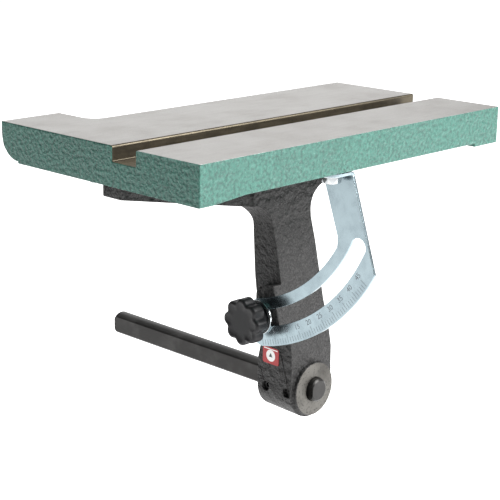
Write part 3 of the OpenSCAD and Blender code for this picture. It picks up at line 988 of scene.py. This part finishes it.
@dataclass
class Shaft:
    """The blackened support shaft and its socket set screws."""

    edges: EdgeBreak = field(default_factory=lambda: EdgeBreak(0.2 * MM, 2, 28))

    def build(self) -> list[bpy.types.Object]:
        """Builds the shaft and the screws."""
        finishes = {
            "support_shaft": ("shaft_steel", BlackenedSteel().material()),
            "shaft_set_screws": (
                "set_screw_steel",
                BlackenedSteel(
                    "screw_oxide", base=(0.04, 0.04, 0.04), grain=(900.0, 900.0, 900.0)
                ).material(),
            ),
        }
        made = []
        for node, (name, finish) in finishes.items():
            piece = self.edges.copy_of(node, name)
            dress(piece, [finish])
            self.edges.round_edges(piece, node)
            made.append(publish(piece, Body.SUPPORT, [node]))
        return made


# ---- Knob --------------------------------------------------------------------------------------


@dataclass
class Knob:
    """The moulded star knob, swept as rings whose radius dips between the lobes."""

    lobes: int = 8
    steps: int = 192
    scallop: float = 2.1 * MM
    rim_round: float = 1.8 * MM
    neck_radius: float = 8.5 * MM
    neck_length: float = 6.5 * MM
    shoulder_round: float = 1.2 * MM
    round_steps: int = 6
    face_sink: float = 0.25 * MM
    tip_share: float = 0.02
    smooth_angle: float = 50.0
    lobe_power: float = 1.6

    def build(self, frame: dict) -> bpy.types.Object:
        """Builds the knob's piece.

        Args:
            frame: The loaded CAD frame.

        Returns:
            The piece.
        """
        low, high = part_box("clamp_knob")
        turn = next(j for j in frame["joints"] if j["name"] == "knob_turn")
        centre = Vector((0.0, turn["pos_m"][1], turn["pos_m"][2]))
        radius = (high.z - low.z) / 2
        bore = (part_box("knob_insert")[1].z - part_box("knob_insert")[0].z) / 2
        depth = high.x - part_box("knob_insert")[0].x
        rings = [
            self._ring(centre, high.x - distance, r, dip)
            for distance, r, dip in self._profile(radius, high.x - low.x, bore, depth)
        ]
        shape = sweep_rings(rings)
        piece = new_piece("star_knob", shape, [MouldedPlastic().material()])
        smooth_shading(piece, self.smooth_angle)
        return publish(piece, Body.KNOB, ["clamp_knob"])

    def _profile(
        self, radius: float, length: float, bore: float, depth: float
    ) -> Iterator[tuple[float, float, float]]:
        """The knob's section, from the bottom of its bore round to the middle of its face.

        Args:
            radius: The radius over the lobes.
            length: The knob's length along its axis.
            bore: The radius of the bore for the insert.
            depth: The depth of that bore.

        Yields:
            The distance from the neck's end, the radius, and the share of the scallops' depth.
        """
        yield depth, bore * self.tip_share, 0.0
        yield depth, bore, 0.0
        yield 0.0, bore, 0.0
        yield 0.0, self.neck_radius - 0.4 * MM, 0.0
        yield 0.4 * MM, self.neck_radius, 0.0
        yield self.neck_length * 0.55, self.neck_radius + 1.0 * MM, 0.05
        yield self.neck_length - 0.6 * MM, self.neck_radius + 2.0 * MM, 0.3
        yield self.neck_length, radius - 3.2 * MM, 0.9
        angles = [math.pi / 2 * i / self.round_steps for i in range(self.round_steps + 1)]
        for angle in angles:
            yield (
                self.neck_length + self.shoulder_round * (1 - math.cos(angle)),
                radius - self.shoulder_round * (1 - math.sin(angle)),
                1.0,
            )
        for angle in angles:
            yield (
                length - self.rim_round * (1 - math.sin(angle)),
                radius - self.rim_round * (1 - math.cos(angle)),
                1.0,
            )
        yield length, radius - self.rim_round - 0.5 * MM, 1.0
        yield length - self.face_sink, radius - self.rim_round - 0.9 * MM, 1.0
        yield length - self.face_sink, radius * 0.5, 0.3
        yield length - self.face_sink, radius * self.tip_share, 0.0

    def _ring(self, centre: Vector, x: float, radius: float, dip: float) -> list[Vector]:
        """One ring round the knob.

        Args:
            centre: A point on the knob's axis.
            x: The ring's place along X.
            radius: Its radius over the lobes.
            dip: The share of the scallops' depth that it shows.

        Returns:
            Its points.
        """
        points = []
        for step in range(self.steps):
            angle = 2 * math.pi * step / self.steps
            wave = 0.5 - 0.5 * math.cos(self.lobes * angle)
            r = radius - self.scallop * dip * wave**self.lobe_power
            points.append(Vector((x, centre.y + r * math.sin(angle), centre.z + r * math.cos(angle))))
        return points


# ---- Label -------------------------------------------------------------------------------------


@dataclass
class IndexLabel:
    """The small red label: printed film with a white disc, a dark arrow and a white line."""

    print_height: float = 0.03 * MM
    corner: float = 1.5 * MM
    disc_radius: float = 3.9 * MM
    width: float = 14.0 * MM
    height: float = 11.0 * MM
    thickness: float = 0.27 * MM
    ring_share: float = 0.56
    arrow: tuple[float, float, float] = (1.6 * MM, -0.9 * MM, 1.9 * MM)
    line_inset: float = 1.0 * MM
    line_drop: float = 1.2 * MM
    line_half: float = 0.3 * MM

    def build(self) -> bpy.types.Object:
        """Builds the label's piece on its CAD node's own outer face."""
        node = bpy.data.objects["index_label"]
        face = max(node.data.polygons, key=lambda polygon: polygon.area * (polygon.normal.x < -0.5))
        out = face.normal.copy()
        up = (Vector((0, 0, 1)) - out * out.z).normalized()
        side = out.cross(up)
        low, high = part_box("index_label")
        middle = (low + high) / 2
        middle += out * (face.center - middle).dot(out)
        shape = bmesh.new()
        film = -self.print_height
        outline = self._rounded(self.width, self.height)
        self._plate(shape, middle + out * film, side, up, out, outline, self.thickness, 0)
        disc = [
            (self.disc_radius * math.cos(a), self.disc_radius * math.sin(a))
            for a in (2 * math.pi * i / 48 for i in range(48))
        ]
        self._plate(shape, middle, side, up, out, disc, self.print_height, 1)
        ring = [(x * self.ring_share, y * self.ring_share) for x, y in disc]
        lift = 0.4 * self.print_height
        half, foot, tip = self.arrow
        arrow = [(-half, foot), (half, foot), (0.0, tip)]
        self._plate(shape, middle - out * lift, side, up, out, ring, self.print_height * 0.5, 1)
        self._plate(shape, middle + out * lift * 0.2, side, up, out, arrow, self.print_height, 2)
        top = self.height / 2 - self.line_drop
        end = self.width / 2 - self.line_inset
        low_edge, high_edge = top - self.line_half, top + self.line_half
        line = [(-end, low_edge), (end, low_edge), (end, high_edge), (-end, high_edge)]
        self._plate(shape, middle, side, up, out, line, self.print_height, 1)
        inks = [
            PrintedInk("label_red", (0.36, 0.014, 0.016)).material(),
            PrintedInk("label_white", (0.80, 0.80, 0.78)).material(),
            PrintedInk("label_black", (0.02, 0.02, 0.02)).material(),
        ]
        piece = new_piece("index_label_film", shape, inks)
        return publish(piece, Body.SUPPORT, ["index_label"])

    def _rounded(self, width: float, height: float) -> list[tuple[float, float]]:
        """The outline of a rectangle with round corners.

        Args:
            width: The full width.
            height: The full height.

        Returns:
            Its points, anticlockwise.
        """
        points = []
        for quarter, (sx, sy) in enumerate([(1, 1), (-1, 1), (-1, -1), (1, -1)]):
            for i in range(7):
                angle = math.pi / 2 * (quarter + i / 6)
                x = sx * (width / 2 - self.corner) + self.corner * math.cos(angle)
                y = sy * (height / 2 - self.corner) + self.corner * math.sin(angle)
                points.append((x, y))
        return points

    @staticmethod
    def _plate(
        shape: bmesh.types.BMesh,
        middle: Vector,
        side: Vector,
        up: Vector,
        out: Vector,
        outline: Sequence[tuple[float, float]],
        thickness: float,
        material: int,
    ) -> None:
        """Adds a thin plate whose upper face is at middle.

        Args:
            shape: The mesh, added to.
            middle: The middle of the plate's upper face.
            side: The direction of the outline's first coordinate.
            up: The direction of its second coordinate.
            out: The direction that the plate faces.
            outline: The plate's outline.
            thickness: Its thickness.
            material: Its material slot.
        """
        upper = [shape.verts.new(middle + side * x + up * y) for x, y in outline]
        lower = [shape.verts.new(middle + side * x + up * y - out * thickness) for x, y in outline]
        faces = [shape.faces.new(upper), shape.faces.new(list(reversed(lower)))]
        for i in range(len(outline)):
            j = (i + 1) % len(outline)
            faces.append(shape.faces.new((lower[i], lower[j], upper[j], upper[i])))
        for face in faces:
            face.material_index = material


# ---- Studio ------------------------------------------------------------------------------------


@dataclass(frozen=True)
class SoftBox:
    """A square soft box, hung from the middle of the parts and facing it."""

    name: str
    offset: tuple[float, float, float]
    size: float
    power: float

    def hang(self, middle: Vector) -> None:
        """Hangs the box.

        Args:
            middle: The middle of the CAD parts, which it faces.
        """
        light = bpy.data.lights.new(self.name, "AREA")
        light.shape = "SQUARE"
        light.size = self.size
        light.energy = self.power
        box = bpy.data.objects.new(self.name, light)
        box.location = middle + Vector(self.offset)
        box.rotation_euler = (middle - box.location).to_track_quat("-Z", "Y").to_euler()
        box.visible_camera = False
        bpy.context.scene.collection.objects.link(box)


@dataclass
class Studio:
    """A pale floor, soft light, and the camera."""

    lens: float = 101.14
    sensor: float = 36.0
    camera_place: Vector = field(default_factory=lambda: Vector((-634.6, -580.9, 322.3)) * MM)
    heading: float = 46.309
    pitch: float = -15.449
    roll: float = 0.843
    floor_drop: float = 0.12
    floor_size: float = 14.0
    floor_colour: Colour = (0.96, 0.96, 0.96)
    floor_glow: float = 0.78
    world_strength: float = 0.22
    boxes: tuple[SoftBox, ...] = (
        SoftBox("key", (0.75, -1.5, 1.1), 1.1, 80.0),
        SoftBox("top", (0.2, 0.6, 1.7), 1.5, 12.0),
        SoftBox("rear_card", (1.3, 1.4, 0.7), 1.3, 5.6),
    )

    def build(self, bounds: tuple[Vector, Vector]) -> None:
        """Builds the floor, the lights and the camera.

        Args:
            bounds: The lowest and highest corners of the CAD parts.
        """
        self._floor(bounds[0].z - self.floor_drop)
        self._world()
        middle = (bounds[0] + bounds[1]) / 2
        for box in self.boxes:
            box.hang(middle)
        self._camera()
        log.info("studio built")

    def _floor(self, height: float) -> None:
        """Lays a pale, faintly mottled floor.

        Args:
            height: The floor's height.
        """
        shape = bmesh.new()
        half = self.floor_size / 2
        corners = [(-half, -half), (half, -half), (half, half), (-half, half)]
        shape.faces.new([shape.verts.new((x, y, height)) for x, y in corners])
        graph = Graph("pale_floor")
        mottle = graph.noise(0.2, detail=2)
        pale = graph.blend(mottle, self.floor_colour, self.floor_colour)
        inputs = {
            "Base Color": graph.scale_tint(pale, 0.98 + 0.04 * mottle),
            "Roughness": 0.9,
            "Emission Color": (1.0, 1.0, 1.0),
            "Emission Strength": self.floor_glow,
        }
        shader = graph.node("ShaderNodeBsdfPrincipled", None, inputs)
        graph.node("ShaderNodeOutputMaterial", None, {"Surface": shader.outputs["BSDF"]})
        new_piece("floor", shape, [graph.material])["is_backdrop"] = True

    def _world(self) -> None:
        """Surrounds the scene with even pale light."""
        world = bpy.data.worlds.new("studio")
        world.use_nodes = True
        background = world.node_tree.nodes["Background"]
        background.inputs["Color"].default_value = (1.0, 1.0, 1.0, 1.0)
        background.inputs["Strength"].default_value = self.world_strength
        bpy.context.scene.world = world

    def _camera(self) -> None:
        """Sets the camera up, and shows colours as they are."""
        bpy.context.scene.view_settings.view_transform = "Standard"
        data = bpy.data.cameras.new("camera")
        data.lens = self.lens
        data.sensor_width = self.sensor
        data.sensor_fit = "HORIZONTAL"
        data.clip_start = 0.01
        camera = bpy.data.objects.new("camera", data)
        camera.location = self.camera_place
        level = Matrix.Rotation(math.radians(-self.heading), 3, "Z") @ Matrix.Rotation(
            math.radians(90 + self.pitch), 3, "X"
        )
        camera.rotation_euler = (level @ Matrix.Rotation(math.radians(self.roll), 3, "Z")).to_euler()
        bpy.context.scene.collection.objects.link(camera)
        bpy.context.scene.camera = camera


def main() -> None:
    """Builds the work table's looks, sub-assembly by sub-assembly."""
    logging.basicConfig(level=logging.INFO, format="%(name)s: %(message)s")
    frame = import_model()
    cad_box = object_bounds()
    Studio().build(cad_box)
    Table().build(frame)
    Arm().build()
    Quadrant().build(frame)
    Hardware().build()
    Shaft().build()
    Knob().build(frame)
    IndexLabel().build()
    bpy.context.view_layer.update()


if __name__ == "__main__":
    main()
